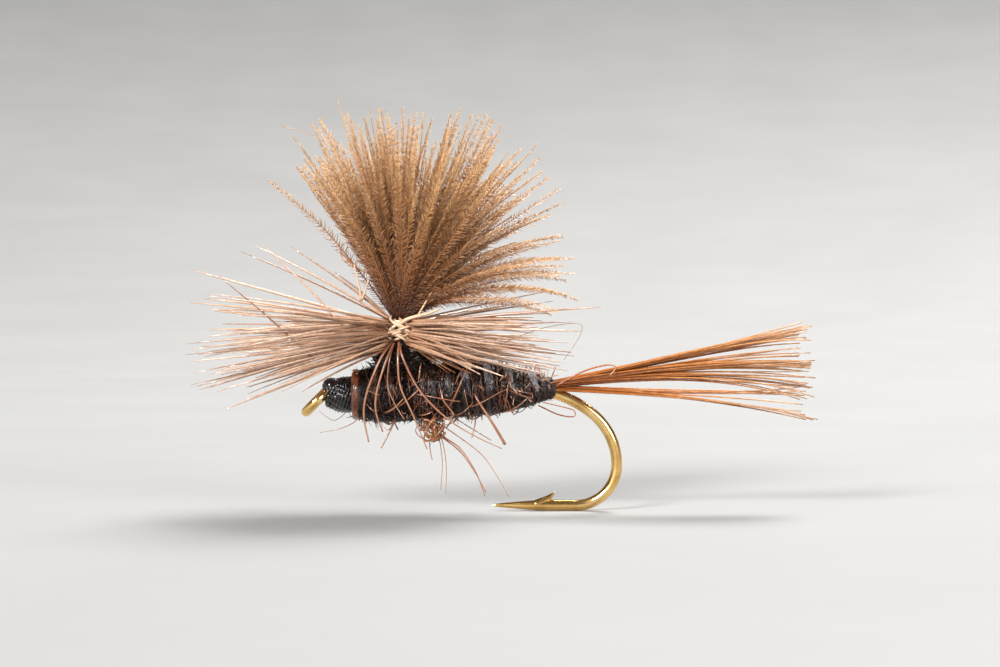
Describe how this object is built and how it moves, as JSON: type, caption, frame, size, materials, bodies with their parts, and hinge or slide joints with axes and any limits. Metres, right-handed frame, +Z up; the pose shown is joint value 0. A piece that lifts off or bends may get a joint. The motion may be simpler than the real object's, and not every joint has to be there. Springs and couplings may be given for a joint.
{
  "type": "dry fly",
  "caption": "Parachute dry fly: gold down-eye hook, dark wound body, upright downy wing with a hackle wound flat round its foot, fibre tail and legs.",
  "frame": {"origin": "centre of the hook's eye", "axes": "+X along the shank from the eye to the tail, +Z up towards the wing's tips, hook bend hanging towards -Z"},
  "size_m": [0.0247, 0.0151, 0.0162],
  "materials": {
    "hook_wire": "bright gold lacquered steel",
    "dark_herl": "dark brown-black feather strand, slightly glossy",
    "thread": "waxed dark brown tying thread",
    "quill": "stripped quill, satin",
    "rib_quill": "pale grey-brown quill, satin",
    "cement": "glossy head cement",
    "down": "golden tan downy feather",
    "hackle": "glossy pinkish tan hackle barbs",
    "hackle_quill": "cream feather stem, satin",
    "tail": "orange-brown stiff fibres",
    "leg": "reddish brown feather fibres"
  },
  "bodies": {
    "root": {"hook": "hook_wire", "thread_underbody": "thread", "head_thread": "thread", "head_cement": "cement", "thorax_quill_band": "quill", "thorax_herl": "dark_herl", "abdomen_herl": "dark_herl", "abdomen_rib": "rib_quill", "tail_tie_down": "thread", "wing_stem_bundle": "down", "wing_post_wraps": "thread", "wing_butt_fibres": "leg", "wing_feather_forward": "down", "wing_feather_backward": "down", "wing_feather_near": "down", "wing_feather_far": "down", "wing_feather_low": "down", "hackle_stem": "hackle_quill", "hackle_stem_end": "hackle_quill", "hackle_barbs_turn_1": "hackle", "hackle_barbs_turn_2": "hackle", "hackle_barbs_turn_3": "hackle", "hackle_barbs_turn_4": "hackle", "tail_fibres_upper": "tail", "tail_fibres_middle": "tail", "tail_fibres_lower": "tail", "tail_stray_loop": "leg", "legs_near_side": "leg", "legs_far_side": "leg", "leg_knot": "leg", "trailing_fibres": "leg"}
  },
  "joints": []
}
